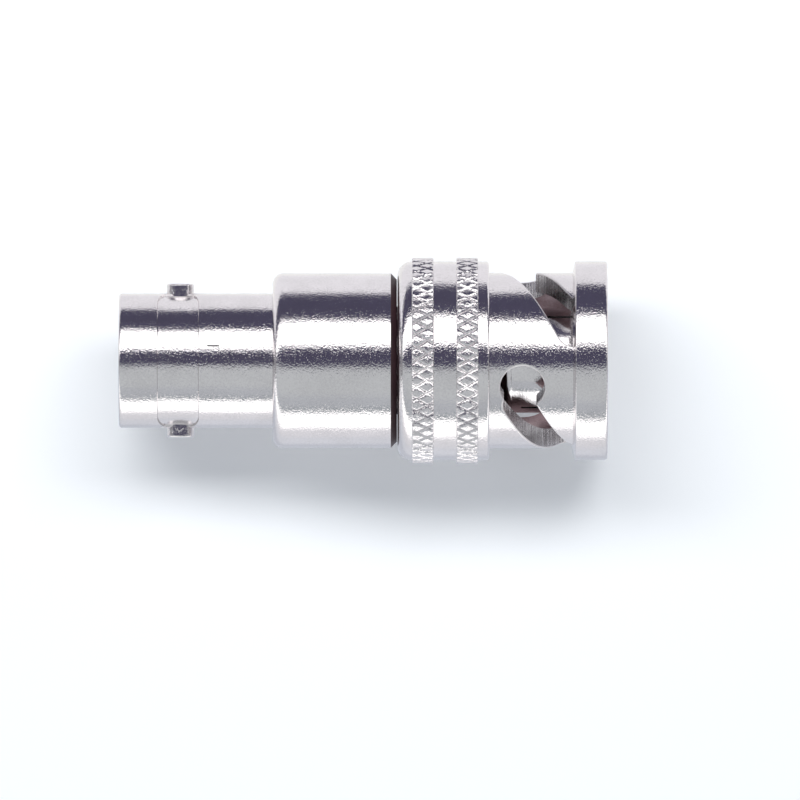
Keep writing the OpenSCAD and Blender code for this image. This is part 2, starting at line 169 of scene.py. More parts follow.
def fitted_wall(turns, heights, radius, distance, slides=5, least_slope=0.02):
    """Triangle grid on an unrolled round wall with edges along the curve where distance(turn, height) is
    zero: of each edge that crosses the curve, the nearer end slides down the slope of distance onto it.
    Gives the points' turns and heights, the triangles, and which of those lie inside the curve."""
    turn, height = (grid.ravel() for grid in np.meshgrid(turns, heights, indexing="ij"))
    rows = len(heights)
    here = np.arange(len(turn)).reshape(-1, rows)
    there = np.roll(here, -1, 0)
    lower = np.stack([here[:, :-1], there[:, :-1], there[:, 1:]], -1)
    upper = np.stack([here[:, :-1], there[:, 1:], here[:, 1:]], -1)
    triangles = np.stack([lower, upper], 2).reshape(-1, 3)
    gap = distance(turn, height)
    ends = triangles[:, [0, 1, 1, 2, 2, 0]].reshape(-1, 2)
    ends = ends[gap[ends[:, 0]] * gap[ends[:, 1]] < 0]
    nearer = np.abs(gap[ends[:, 0]]) <= np.abs(gap[ends[:, 1]])
    moved = np.unique(np.where(nearer, ends[:, 0], ends[:, 1]))
    level = np.isin(moved % rows, [0, rows - 1])
    for _ in range(slides):
        along, up = slope_of(distance, turn[moved], height[moved], radius)
        up = np.where(level, 0, up)
        pull = distance(turn[moved], height[moved]) / np.maximum(along ** 2 + up ** 2, least_slope)
        turn[moved] -= pull * along / radius
        height[moved] -= pull * up
    spread = turn[triangles] - turn[triangles[:, :1]]
    middle = turn[triangles[:, 0]] + ((spread + np.pi) % (2 * np.pi) - np.pi).mean(1)
    return turn, height, triangles, distance(middle, height[triangles].mean(1)) < 0


def open_edges(triangles, rows):
    """Edges that only one triangle has, apart from those along the wall's first and last rows."""
    edges = triangles[:, [0, 1, 1, 2, 2, 0]].reshape(-1, 2)
    size = triangles.max() + 1
    edges = edges[~np.isin(edges @ [size, 1], edges @ [1, size])]
    row = edges % rows
    level = (row[:, 0] == row[:, 1]) & np.isin(row[:, 0], [0, rows - 1])
    return edges[~level]


def wire(tree, kind, inputs, **settings):
    """Adds a node with these settings. An input given as a socket is linked, and any other value is set."""
    node = tree.nodes.new(kind)
    for name, value in settings.items():
        setattr(node, name, value)
    for name, value in inputs.items():
        if isinstance(value, bpy.types.NodeSocket):
            tree.links.new(value, node.inputs[name])
        else:
            node.inputs[name].default_value = value
    return node


def reckon(tree, operation, *values):
    """Output of a Math node that works on these values or sockets."""
    return wire(tree, "ShaderNodeMath", dict(enumerate(values)), operation=operation).outputs[0]


def reckon_vector(tree, operation, *values):
    """Output of a Vector Math node: a number for a length or a distance, and else a vector."""
    node = wire(tree, "ShaderNodeVectorMath", dict(enumerate(values)), operation=operation)
    return node.outputs["Value" if operation in ("LENGTH", "DISTANCE") else "Vector"]


def ranged(tree, value, start, end, first, last):
    """Value that goes evenly from first to last as the given one goes from start to end, and holds beyond."""
    return wire(tree, "ShaderNodeMapRange", {"Value": value, "From Min": start, "From Max": end,
                                             "To Min": first, "To Max": last}).outputs[0]


def blended(tree, share, first, second):
    """Colour that goes from the first to the second with the share."""
    return wire(tree, "ShaderNodeMix", {0: share, 6: first, 7: second}, data_type="RGBA").outputs[2]


def place_on(tree):
    """Place on the piece, in the adapter's own frame."""
    return wire(tree, "ShaderNodeTexCoord", {}).outputs["Object"]


def noise_over(tree, place, scale, detail):
    """Outputs of a soft noise over a place."""
    return wire(tree, "ShaderNodeTexNoise", {"Vector": place, "Scale": scale, "Detail": detail}).outputs


def build_plate_grain():
    """Face of bright plating: an orange peel of fine grains, turning lines that change with the height and,
    FACE_LINES times as fast, with the radius, and fine pits. Height feeds a bump, and Dull is a mask of
    duller patches and specks."""
    group = bpy.data.node_groups.new("plate_grain", "ShaderNodeTree")
    for label in ("Peel", "Lines"):
        group.interface.new_socket(label, in_out="INPUT", socket_type="NodeSocketFloat")
    for label in ("Height", "Dull"):
        group.interface.new_socket(label, in_out="OUTPUT", socket_type="NodeSocketFloat")
    given = wire(group, "NodeGroupInput", {}).outputs
    place = place_on(group)
    askew = wire(group, "ShaderNodeMapping", {"Vector": place, "Rotation": (0.6, 0.4, 0.8)})
    fine = noise_over(group, askew.outputs[0], GRAIN_SCALE, detail=1)["Fac"]
    height = wire(group, "ShaderNodeSeparateXYZ", {"Vector": place}).outputs["Z"]
    radius = reckon_vector(group, "LENGTH", reckon_vector(group, "MULTIPLY", place, (1, 1, 0)))
    travel = reckon(group, "MULTIPLY_ADD", radius, FACE_LINES, height)
    lines = wire(group, "ShaderNodeTexNoise", {"W": travel, "Scale": LINE_SCALE, "Detail": 2},
                 noise_dimensions="1D").outputs["Fac"]
    peel = reckon(group, "MULTIPLY", fine, given["Peel"])
    face = reckon(group, "MULTIPLY_ADD", lines, given["Lines"], peel)
    spots = wire(group, "ShaderNodeTexVoronoi", {"Vector": place, "Scale": PIT_SCALE, "Randomness": 1})
    pit = ranged(group, spots.outputs["Distance"], *PIT_EDGES, -PIT_DEPTH, 0)
    cloud = noise_over(group, place, CLOUD_SCALE, detail=3)["Fac"]
    speckle = reckon(group, "MULTIPLY_ADD", fine, SPECKS, cloud)
    wire(group, "NodeGroupOutput", {"Height": reckon(group, "ADD", face, pit),
                                    "Dull": ranged(group, speckle, *CLOUD_EDGES, 0, 1)})
    return group


PLATE_GRAIN = build_plate_grain()


def shader_of(tree):
    """Inputs of a material's shader."""
    return tree.nodes["Principled BSDF"].inputs


def grained(name, fresh, worn, peel, lines, gloss, matt, metallic=0, rise=1e-6):
    """Material over the plate grain: with the grain's dull mask its colour goes from fresh to worn and its
    roughness from gloss to matt, and the grain's height is a bump of rise metres for each unit."""
    material = bpy.data.materials.new(name)
    material.use_nodes = True
    tree = material.node_tree
    shader = shader_of(tree)
    shader["Metallic"].default_value = metallic
    grain = wire(tree, "ShaderNodeGroup", {"Peel": peel, "Lines": lines}, node_tree=PLATE_GRAIN).outputs
    bump = wire(tree, "ShaderNodeBump", {"Height": grain["Height"], "Strength": 1, "Distance": rise})
    tree.links.new(blended(tree, grain["Dull"], fresh, worn), shader["Base Color"])
    tree.links.new(ranged(tree, grain["Dull"], 0, 1, gloss, matt), shader["Roughness"])
    tree.links.new(bump.outputs[0], shader["Normal"])
    return material


def plating(name, peel, lines, gloss, matt, bright=NICKEL, dull=NICKEL_DULL):
    """Plated metal over the plate grain, nickel if no other colours are given."""
    return grained(name, bright, dull, peel, lines, gloss, matt, metallic=1)


def bumped(tree, height, rise):
    """Adds a bump to the normal that the shader already has."""
    normal = shader_of(tree)["Normal"]
    bump = wire(tree, "ShaderNodeBump", {"Height": height, "Normal": normal.links[0].from_socket,
                                         "Strength": 1, "Distance": rise})
    tree.links.new(bump.outputs[0], normal)


def ragged_place(tree, scale, reach):
    """Outputs X, Y and Z of the place on a piece, moved along each axis by a noise of up to its reach."""
    place = place_on(tree)
    noise = noise_over(tree, place, scale, detail=2)["Color"]
    moved = reckon_vector(tree, "MULTIPLY_ADD", noise, reach, place)
    return wire(tree, "ShaderNodeSeparateXYZ", {"Vector": moved}).outputs


def nicked(material):
    """Adds one scraped nick: a thin, ragged box along the axis, on the jack's front, of darkened plating."""
    tree = material.node_tree
    colour = shader_of(tree)["Base Color"]
    spot = ragged_place(tree, scale=14000, reach=(3e-5, 3e-5, 1e-4))
    across = reckon(tree, "COMPARE", spot["X"], JACK_R * math.cos(NICK_TURN) * MM, NICK_WIDTH / 2 * MM)
    along = reckon(tree, "COMPARE", spot["Z"], NICK_HEIGHT * MM, NICK_LENGTH / 2 * MM)
    front = reckon(tree, "LESS_THAN", spot["Y"], 0)
    mask = reckon(tree, "MULTIPLY", reckon(tree, "MULTIPLY", across, along), front)
    tree.links.new(blended(tree, mask, colour.links[0].from_socket, SCRAPED), colour)
    return material


def dulled_at_lugs(material):
    """Roughens the plating round both lugs, where a polishing wheel can't reach: the roughness grows with the
    nearness to the lugs' common axis."""
    tree = material.node_tree
    rough = shader_of(tree)["Roughness"]
    flat = reckon_vector(tree, "MULTIPLY", place_on(tree), (0, 1, 1))
    away = reckon_vector(tree, "DISTANCE", flat, (0, 0, LUG_HEIGHT * MM))
    extra = ranged(tree, away, DULL_REACH[0] * MM, DULL_REACH[1] * MM, DULL_ROUGHNESS, 0)
    tree.links.new(reckon(tree, "ADD", rough.links[0].from_socket, extra), rough)
    return material


def scratched(material):
    """Adds a bent, ragged scratch on the front of one lug: a thin, rough groove where the reach along X, plus
    a slope times the distance aside from the bend, is that of the bend."""
    tree = material.node_tree
    rough = shader_of(tree)["Roughness"]
    spot = ragged_place(tree, scale=6000, reach=(1.6e-4, 0, 1.6e-4))
    aside = reckon(tree, "ABSOLUTE", reckon(tree, "SUBTRACT", spot["Z"], SCRATCH_HEIGHT * MM))
    reach = reckon(tree, "MULTIPLY_ADD", aside, SCRATCH_SLOPE, spot["X"])
    line = reckon(tree, "COMPARE", reach, SCRATCH_POINT * MM, SCRATCH_WIDTH / 2 * MM)
    near = reckon(tree, "LESS_THAN", aside, SCRATCH_HALF * MM)
    front = reckon(tree, "LESS_THAN", spot["Y"], 0)
    mask = reckon(tree, "MULTIPLY", reckon(tree, "MULTIPLY", line, near), front)
    total = reckon(tree, "MULTIPLY_ADD", mask, SCRATCH_ROUGHNESS, rough.links[0].from_socket)
    tree.links.new(total, rough)
    bumped(tree, mask, -SCRATCH_DEPTH * MM)
    return material


def make_piece(name, parts, materials, body, node, crease=30):
    """One mesh from parts of (points in mm, faces, index of the material). Shared points are merged, and the
    shading is smooth except across edges sharper than crease."""
    starts = np.cumsum([0] + [len(points) for points, _, _ in parts])
    faces = [(np.asarray(part[1]) + start).tolist() for part, start in zip(parts, starts)]
    mesh = bpy.data.meshes.new(name)
    mesh.from_pydata(np.concatenate([part[0] for part in parts]) * MM, [], sum(faces, []))
    finish = np.repeat([part[2] for part in parts], [len(rows) for rows in faces])
    mesh.polygons.foreach_set("material_index", finish.astype(np.int32))
    build = bmesh.new()
    build.from_mesh(mesh)
    bmesh.ops.remove_doubles(build, verts=build.verts, dist=MERGE_WITHIN * MM)
    loose = [vert for vert in build.verts if not vert.link_faces]
    bmesh.ops.delete(build, geom=loose, context="VERTS")
    build.to_mesh(mesh)
    build.free()
    for material in materials:
        mesh.materials.append(material)
    mesh.shade_smooth()
    mesh.set_sharp_from_angle(angle=math.radians(crease))
    piece = bpy.data.objects.new(name, mesh)
    scene.collection.objects.link(piece)
    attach(piece, body)
    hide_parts(node)
    return piece


def make_turning(name, corners, columns, material, node):
    """Plain turned piece of the adapter's body, from the corners of its outline."""
    points, faces = turned(outline(corners), columns)
    make_piece(name, [(points, faces, 0)], [material], "adapter", node)


def band_gap(turn, height):
    """Distance from the edge of the milled band as seen square to the lugs, a rectangle with round corners;
    below zero inside it."""
    across = np.abs(JACK_R * np.cos(turn)) - (BAND_REACH - BAND_CORNER)
    along = np.abs(height - (BAND_START + BAND_END) / 2) - ((BAND_END - BAND_START) / 2 - BAND_CORNER)
    outside = np.hypot(np.maximum(across, 0), np.maximum(along, 0))
    return outside + np.minimum(np.maximum(across, along), 0) - BAND_CORNER


def jack_wall():
    """Outer wall of the jack between its rim and its shoulder: the band's triangles sink to its floor, and a
    slanted step of quads joins its edge to the wall around it."""
    heights = np.concatenate([np.linspace(JACK_RIM, BAND_START, ROWS_BELOW_BAND),
                              np.linspace(BAND_START, BAND_END, ROWS_ON_BAND)[1:],
                              np.linspace(BAND_END, JACK_LEN, ROWS_ABOVE_BAND)[1:]])
    turns = np.arange(COLUMNS) * 2 * np.pi / COLUMNS
    turn, height, triangles, sunk = fitted_wall(turns, heights, JACK_R, band_gap)
    a, b = open_edges(triangles[~sunk], len(heights)).T
    along, up = slope_of(band_gap, turn, height, JACK_R)
    inward = np.zeros(len(turn))
    inward[a] = BAND_SLOPE / np.hypot(along[a], up[a])
    foot = on_wall(BAND_FLOOR_R, turn - inward * along / JACK_R, height - inward * up)
    points = np.concatenate([on_wall(JACK_R, turn, height), foot])
    deeper = len(turn)
    step = np.stack([b, a, a + deeper, b + deeper], -1)
    return [(points, triangles[~sunk], 0), (points, triangles[sunk] + deeper, 0), (points, step, 0)]


def lug(side):
    """Bayonet lug: a turned peg with a rounded end, laid along X on one side of the jack. A ring of points
    just below the rounding keeps the shading of its side straight."""
    points = outline([(0, LUG_ROOT, 0), (LUG_R, LUG_ROOT, 0), (LUG_R, LUG_REACH - EDGE_CLEAR * LUG_EDGE, 0),
                      (LUG_R, LUG_REACH, LUG_EDGE), (0, LUG_REACH, 0)])
    peg, faces = turned(points, LUG_COLUMNS)
    laid = np.stack([side * peg[:, 2], side * peg[:, 1], LUG_HEIGHT - peg[:, 0]], -1)
    return laid, faces, 1


jack_inside = outline([
    (SHANK_R, JACK_LEN, 0), (SHANK_R, SHANK_END, SHANK_EDGE), (SHELL_BORE_R, SHANK_END, SHANK_EDGE),
    (SHELL_BORE_R, LIP_END, 0), (LIP_R, LIP_END, 0), (LIP_R, JACK_BORE_END, 0),
    (JACK_BORE_R, JACK_BORE_END, 0), (JACK_BORE_R, MOUTH_CHAMFER, MOUTH_EDGE),
    (JACK_BORE_R + MOUTH_CHAMFER, 0, MOUTH_EDGE), (JACK_R, 0, JACK_RIM), (JACK_R, JACK_LEN, 0),
])
jack_rest, jack_faces = turned(jack_inside)
last_row = len(jack_inside) - 2
jack_faces = jack_faces[jack_faces[:, 0] // COLUMNS != last_row]
jack_plating = plating("jack_nickel", peel=12, lines=2, gloss=0.09, matt=0.14)
lug_plating = plating("lug_nickel", peel=12, lines=0, gloss=0.1, matt=0.17)
make_piece("jack_turning", jack_wall() + [(jack_rest, jack_faces, 0), lug(1), lug(-1)],
           [dulled_at_lugs(nicked(jack_plating)), scratched(lug_plating)], "adapter", "jack_shell")


# Jack insulator: a white fluoropolymer bush, turned, pressed into the jack from behind against its lip. Its
# nose stands out round the socket in the mouth.
NOSE_R = 2.4
NOSE_START = 0.3
NOSE_ROUND = 0.15
JACK_BUSH_END = 14.45
JACK_BUSH_EDGE = 0.05
BUSH_COLUMNS = 96
PRESS_GAP = 0.01
SOCKET_R = 1.05
SOCKET_COLLAR_R = 1.6
SOCKET_COLLAR_START = 13.45
WHITE = (0.86, 0.855, 0.83, 1)
WHITE_SHADE = (0.774, 0.7695, 0.747, 1)

white_plastic = grained("white_fluoropolymer", WHITE, WHITE_SHADE, peel=1.2, lines=1.8, gloss=0.38, matt=0.52,
                        rise=2e-6)
waxy = shader_of(white_plastic.node_tree)
waxy["Subsurface Weight"].default_value = 0.25
waxy["Subsurface Radius"].default_value = (4e-4, 4e-4, 4e-4)
make_turning("jack_bush", [
    (SOCKET_R + PRESS_GAP, NOSE_START, JACK_BUSH_EDGE), (NOSE_R, NOSE_START, NOSE_ROUND),
    (NOSE_R, JACK_BORE_END, 0), (LIP_R - PRESS_GAP, JACK_BORE_END, 0), (LIP_R - PRESS_GAP, LIP_END, 0),
    (SHELL_BORE_R - PRESS_GAP, LIP_END, 0), (SHELL_BORE_R - PRESS_GAP, JACK_BUSH_END, JACK_BUSH_EDGE),
    (SOCKET_COLLAR_R + PRESS_GAP, JACK_BUSH_END, 0), (SOCKET_COLLAR_R + PRESS_GAP, SOCKET_COLLAR_START, 0),
    (SOCKET_R + PRESS_GAP, SOCKET_COLLAR_START, 0),
], BUSH_COLUMNS, white_plastic, "jack_insulator")


# Socket contact: the jack's centre contact, turned from spring brass and gold plated. Four slits leave tines
# that grip the mating pin, and a collar behind holds it in its bush.
SOCKET_START = 0.9
SOCKET_END = 17.1
SOCKET_BORE_R = 0.69
SOCKET_BORE_END = 6.5
TINES = 4
TINE_END = 4.9
TINE_SLIT = 0.22
TINE_PHASE = math.radians(45)
TINE_ROUND = 0.14
TINE_BORE_EDGE = 0.1
TAIL_BORE_R = 0.51
TAIL_START = 14.8
GOLD = (0.94, 0.66, 0.27, 1)
GOLD_DULL = (0.80, 0.53, 0.20, 1)


def slit_turning(points, first, last, count, width, radius, phase, columns=20):
    """Turned piece with slits: between the two edges of a slit the rows first to last are left out, a floor
    joins row first to row last, and the outline between them closes each side of the slit."""
    half = width / 2 / radius
    sector = 2 * np.pi / count
    one = np.concatenate([[-half], np.linspace(half, sector - half, columns, endpoint=False)])
    turn = (phase + np.arange(count)[:, None] * sector + one).ravel()
    size = len(turn)
    faces = ring_faces(len(points), size, True)
    row, column = faces[:, 0] // size, faces[:, 0] % size
    in_slit = (column % len(one) == 0) & (row >= first) & (row < last)
    left = np.arange(count) * len(one)
    right = left + 1
    floor = np.stack([first * size + left, first * size + right, last * size + right, last * size + left], -1)
    span = np.arange(first, last + 1) * size
    place = on_wall(points[:, :1], turn, points[:, 1:])
    sides = np.concatenate([left[:, None] + span[::-1], right[:, None] + span])
    return [(place, faces[~in_slit], 0), (place, floor, 0), (place, sides, 0)]


gold_plating = plating("gold_plating", peel=4, lines=2, gloss=0.12, matt=0.24, bright=GOLD, dull=GOLD_DULL)
socket = outline([
    (0, SOCKET_BORE_END, 0), (SOCKET_BORE_R, SOCKET_BORE_END, 0), (SOCKET_BORE_R, TINE_END, 0),
    (SOCKET_BORE_R, SOCKET_START, TINE_BORE_EDGE), (SOCKET_R, SOCKET_START, TINE_ROUND),
    (SOCKET_R, TINE_END, 0), (SOCKET_R, SOCKET_COLLAR_START, 0), (SOCKET_COLLAR_R, SOCKET_COLLAR_START, 0),
    (SOCKET_COLLAR_R, JACK_BUSH_END, 0), (SOCKET_R, JACK_BUSH_END, 0), (SOCKET_R, SOCKET_END, 0),
    (TAIL_BORE_R, SOCKET_END, 0), (TAIL_BORE_R, TAIL_START, 0), (0, TAIL_START, 0),
])
tine_rows = np.flatnonzero(socket[:, 1] == TINE_END)
make_piece("socket_turning", slit_turning(socket, *tine_rows, TINES, TINE_SLIT, SOCKET_R, TINE_PHASE),
           [gold_plating], "adapter", "socket_contact")


# Rear spacer: a plain ring turned from the same white plastic. It lies closed in inside the barrel, between
# the jack's bush and the pin's, and its ends reach into the shank and the neck.
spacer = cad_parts["rear_spacer"]
spacer.data.materials.clear()
spacer.data.materials.append(white_plastic)


# Barrel: the middle body, turned brass, nickel plated. It has a generous radius where the jack's shank enters
# it and a flat chamfer at the nut, and both ends of the adapter are pressed into its bores.
BARREL_R = 6.28
BARREL_END = 19.97
BARREL_ROUND = 0.75
BARREL_CHAMFER_LEN = 0.43
BARREL_CHAMFER_DEPTH = 0.45
BARREL_CHAMFER_EDGE = 0.06
BARREL_END_EDGE = 0.04
BARREL_BORE_STEP = 16.0
NECK_BORE_R = 3.9
# Painted shade: the barrel's chamfer at the nut is painted a nearly black, reddish non-metal. It stands in
# for the shade and dark reflections in the gap between barrel and nut.
CHAMFER_PAINTED_SHADE = (0.022, 0.008, 0.011, 1)
CHAMFER_SHADE_DULL = (0.0352, 0.0128, 0.0176, 1)

barrel_plating = plating("barrel_nickel", peel=12, lines=4, gloss=0.09, matt=0.14)
barrel_chamfer_painted_shade = grained("barrel_chamfer_painted_shade", CHAMFER_PAINTED_SHADE, CHAMFER_SHADE_DULL, peel=6, lines=3, gloss=0.4, matt=0.6)
barrel_outline = outline([
    (SHANK_R + PRESS_GAP, JACK_LEN, 0), (BARREL_R, JACK_LEN, BARREL_ROUND),
    (BARREL_R, BARREL_END - BARREL_CHAMFER_LEN, BARREL_CHAMFER_EDGE),
    (BARREL_R - BARREL_CHAMFER_DEPTH, BARREL_END, BARREL_END_EDGE), (NECK_BORE_R, BARREL_END, 0),
    (NECK_BORE_R, BARREL_BORE_STEP, 0), (SHANK_R + PRESS_GAP, BARREL_BORE_STEP, 0),
], steps=8)
barrel, faces = turned(barrel_outline)
radius, height = barrel_outline[faces[:, ::2] // COLUMNS].mean(1).T
# Faces of the chamfer, which get the painted shade.
painted_shade_faces = (height > BARREL_END - BARREL_CHAMFER_LEN) & (radius > NECK_BORE_R + BARREL_CHAMFER_DEPTH)
make_piece("barrel_turning", [(barrel, faces[~painted_shade_faces], 0), (barrel, faces[painted_shade_faces], 1)],
           [barrel_plating, barrel_chamfer_painted_shade], "adapter", "barrel")


# Plug body: the plug's outer contact, turned and nickel plated. A neck is pressed into the barrel, a collar
# carries the springs of the nut, and beyond a raised bead the sleeve is slit into spring fingers.
NECK_R = 3.89
NECK_INNER_R = 3.35
NECK_EDGE = 0.1
NECK_STEP = 22.0
COLLAR_R = 4.7
COLLAR_START = 23.2
COLLAR_END = 24.0
COLLAR_EDGE = 0.08
SLEEVE_R = 3.76
SLEEVE_BORE_R = 3.2
SLEEVE_TIP = 33.4
SLEEVE_ROUND = 0.28
SLEEVE_BORE_EDGE = 0.15
BEAD_R = 0.55
BEAD_AXIS_R = 3.275
BEAD_HEIGHT = 27.97
BEAD_ROWS = 13
FINGERS = 6
FINGER_START = 28.9
FINGER_SLIT = 0.25
FINGER_PHASE = math.radians(34)
FINGER_COLUMNS = 36

plug_plating = plating("plug_nickel", peel=5, lines=2, gloss=0.08, matt=0.16)
bead_half = math.acos((SLEEVE_R - BEAD_AXIS_R) / BEAD_R)
bead_turn = np.linspace(-bead_half, bead_half, BEAD_ROWS)[:, None]
bead = np.hstack([BEAD_AXIS_R + BEAD_R * np.cos(bead_turn), BEAD_HEIGHT + BEAD_R * np.sin(bead_turn)])
plug_foot = outline([
    (NECK_INNER_R, BARREL_BORE_STEP, 0), (NECK_R, BARREL_BORE_STEP, NECK_EDGE), (NECK_R, COLLAR_START, 0),
    (COLLAR_R, COLLAR_START, COLLAR_EDGE), (COLLAR_R, COLLAR_END, COLLAR_EDGE), (SLEEVE_R, COLLAR_END, 0),
    (SLEEVE_R, FINGER_START, 0), (SLEEVE_R, SLEEVE_TIP, SLEEVE_ROUND),
    (SLEEVE_BORE_R, SLEEVE_TIP, SLEEVE_BORE_EDGE), (SLEEVE_BORE_R, FINGER_START, 0),
    (SLEEVE_BORE_R, NECK_STEP, 0), (NECK_INNER_R, NECK_STEP, 0),
])
below_bead = np.flatnonzero(plug_foot[:, 1] == FINGER_START)[0]
plug = np.concatenate([plug_foot[:below_bead], bead, plug_foot[below_bead:]])
finger_rows = np.flatnonzero(plug[:, 1] == FINGER_START)
plug_parts = slit_turning(plug, *finger_rows, FINGERS, FINGER_SLIT, SLEEVE_R, FINGER_PHASE, FINGER_COLUMNS)
make_piece("plug_turning", plug_parts, [plug_plating], "adapter", "plug_body")


# Gasket: a moulded ring of red-brown silicone rubber that lies on the collar round the sleeve, where the
# mating jack's rim closes on it.
GASKET_R = 4.64
GASKET_END = 24.5
GASKET_COLUMNS = 128
GASKET_EDGES = (0.05, 0.12, 0.18, 0.1)
SILICONE = (0.30, 0.045, 0.03, 1)
SILICONE_SHADE = (0.21, 0.0315, 0.021, 1)

red_silicone = grained("red_silicone", SILICONE, SILICONE_SHADE, peel=2.5, lines=0, gloss=0.5, matt=0.68,
                       rise=3e-6)
make_turning("gasket_ring", [
    (SLEEVE_R + PRESS_GAP, COLLAR_END, GASKET_EDGES[0]), (GASKET_R, COLLAR_END, GASKET_EDGES[1]),
    (GASKET_R, GASKET_END, GASKET_EDGES[2]), (SLEEVE_R + PRESS_GAP, GASKET_END, GASKET_EDGES[3]),
], GASKET_COLUMNS, red_silicone, "gasket")


# Guard insulator: a bush turned from the same white plastic and pressed into the plug body, where it holds
# the guard sleeve clear of the wall.
GUARD_REAR = 18.6
GUARD_BUSH_TIP = 26.5
BUSH_TIP_EDGE = 0.08
GUARD_R = 2.05
GUARD_COLLAR_R = 2.5
GUARD_COLLAR_END = 19.8

make_turning("guard_bush", [
    (GUARD_COLLAR_R + PRESS_GAP, GUARD_REAR, 0), (NECK_INNER_R - PRESS_GAP, GUARD_REAR, 0),
    (NECK_INNER_R - PRESS_GAP, NECK_STEP, 0), (SLEEVE_BORE_R - PRESS_GAP, NECK_STEP, 0),
    (SLEEVE_BORE_R - PRESS_GAP, GUARD_BUSH_TIP, BUSH_TIP_EDGE),
    (GUARD_R + PRESS_GAP, GUARD_BUSH_TIP, BUSH_TIP_EDGE), (GUARD_R + PRESS_GAP, GUARD_COLLAR_END, 0),
    (GUARD_COLLAR_R + PRESS_GAP, GUARD_COLLAR_END, 0),
], BUSH_COLUMNS, white_plastic, "guard_insulator")


# Guard sleeve: the plug's middle contact, a nickel-plated tube with four slits at its tip and a collar behind
# that is trapped between the two bushes.
GUARD_BORE_R = 1.65
GUARD_TIP = 32.6
GUARD_ROUND = 0.2
GUARD_BORE_EDGE = 0.1
GUARD_SLIT_START = 29.1
GUARD_COLUMNS = 30

guard = outline([
    (GUARD_BORE_R, GUARD_REAR, 0), (GUARD_COLLAR_R, GUARD_REAR, 0), (GUARD_COLLAR_R, GUARD_COLLAR_END, 0),
    (GUARD_R, GUARD_COLLAR_END, 0), (GUARD_R, GUARD_SLIT_START, 0), (GUARD_R, GUARD_TIP, GUARD_ROUND),
    (GUARD_BORE_R, GUARD_TIP, GUARD_BORE_EDGE), (GUARD_BORE_R, GUARD_SLIT_START, 0),
])
guard_rows = np.flatnonzero(guard[:, 1] == GUARD_SLIT_START)
guard_parts = slit_turning(guard, *guard_rows, TINES, TINE_SLIT, GUARD_R, TINE_PHASE, GUARD_COLUMNS)
make_piece("guard_tube", guard_parts, [plug_plating], "adapter", "guard_sleeve")


# Pin insulator: a bush turned from the same white plastic, with a disc behind and a long sleeve. It is
# pressed into the guard and holds the pin in its middle.
DISC_START = 16.6
DISC_R = 3.34
PIN_BUSH_R = 1.64
PIN_BUSH_TIP = 28.0
PIN_R = 0.68
SHOULDER_START = 17.1
SHOULDER_END = 18.1
SHOULDER_R = 1.05

make_turning("pin_bush", [
    (SOCKET_R + PRESS_GAP, DISC_START, 0), (DISC_R, DISC_START, 0), (DISC_R, GUARD_REAR, 0),
    (PIN_BUSH_R, GUARD_REAR, 0), (PIN_BUSH_R, PIN_BUSH_TIP, BUSH_TIP_EDGE),
    (PIN_R + PRESS_GAP, PIN_BUSH_TIP, BUSH_TIP_EDGE), (PIN_R + PRESS_GAP, SHOULDER_END, 0),
    (SOCKET_R + PRESS_GAP, SHOULDER_END, 0),
], BUSH_COLUMNS, white_plastic, "pin_insulator")


# Centre pin: a gold-plated pin with a bullet nose. Its shoulder sits in the bush, and its thin tail goes into
# the back of the socket contact.
PIN_TIP = 32.0
PIN_NOSE = 0.54
PIN_COLUMNS = 64
TAIL_R = 0.5
TAIL_EDGE = 0.05

make_turning("pin_turning", [
    (0, TAIL_START, 0), (TAIL_R, TAIL_START, TAIL_EDGE), (TAIL_R, SHOULDER_START, 0),
    (SHOULDER_R, SHOULDER_START, 0), (SHOULDER_R, SHOULDER_END, 0), (PIN_R, SHOULDER_END, 0),
    (PIN_R, PIN_TIP, PIN_NOSE), (0, PIN_TIP, 0),
], PIN_COLUMNS, gold_plating, "center_pin")


# Washers: a flat thrust washer of spring steel, and two nested wave washers stamped from the same strip. They
# lie loose on the neck, push the nut back towards the barrel, and flatten as the nut is pulled forward.
WASHER_BORE_R = 3.96
WASHER_R = 4.7
WAVE_T = 0.2
WAVE_RISE = 0.89
WAVE_COUNT = 3
WAVE_LOWEST = {"rear_wave_washer": 21.87, "front_wave_washer": 22.09}
WAVE_COLUMNS = 144
STEEL = (0.56, 0.53, 0.49, 1)
STEEL_DULL = (0.44, 0.41, 0.38, 1)


def wave_ring(lowest):
    """Flat ring whose height rises and falls as a sine of the turn, a full wave for each of its waves."""
    turn = np.arange(WAVE_COLUMNS) * 2 * np.pi / WAVE_COLUMNS
    under = lowest + WAVE_RISE * (1 + np.sin(WAVE_COUNT * turn)) / 2
    over = under + WAVE_T
    rows = [(WASHER_BORE_R, under), (WASHER_R, under), (WASHER_R, over), (WASHER_BORE_R, over)]
    points = np.concatenate([on_wall(radius, turn, height) for radius, height in rows])
    return points, ring_faces(len(rows), WAVE_COLUMNS, True)


steel_strip = plating("spring_steel_strip", peel=0.8, lines=1.5, gloss=0.2, matt=0.34,
                      bright=STEEL, dull=STEEL_DULL)
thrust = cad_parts["thrust_washer"]
thrust.data.materials.clear()
thrust.data.materials.append(steel_strip)
for node, lowest in WAVE_LOWEST.items():
    ring, faces = wave_ring(lowest)
    spring = make_piece(node.replace("washer", "spring"), [(ring, faces, 0)], [steel_strip],
                        "adapter", node)
    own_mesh(spring)


# Coupling nut: turned brass, nickel plated, free to turn and to slide a little on the neck. Two raised bands
# on its grip are diamond knurled, and three helical slots with locking holes are milled through its wall.
NUT_REAR = 20.02
NUT_TOP = 35.1
REAR_WALL_END = 21.6
NUT_BORE_R = 4.9
GRIP_R = 7.14
GRIP_END = 26.6
GRIP_ROUND = 1.0
GRIP_EDGE = 0.2
WALL_R = 6.31
FLANGE_R = 7.14
FLANGE_START = 32.6
FLANGE_EDGE = 0.2
FLANGE_REAR_CONE = 0.2
FLANGE_REAR_EDGE = 0.1
NUT_CHAMFER = 0.3

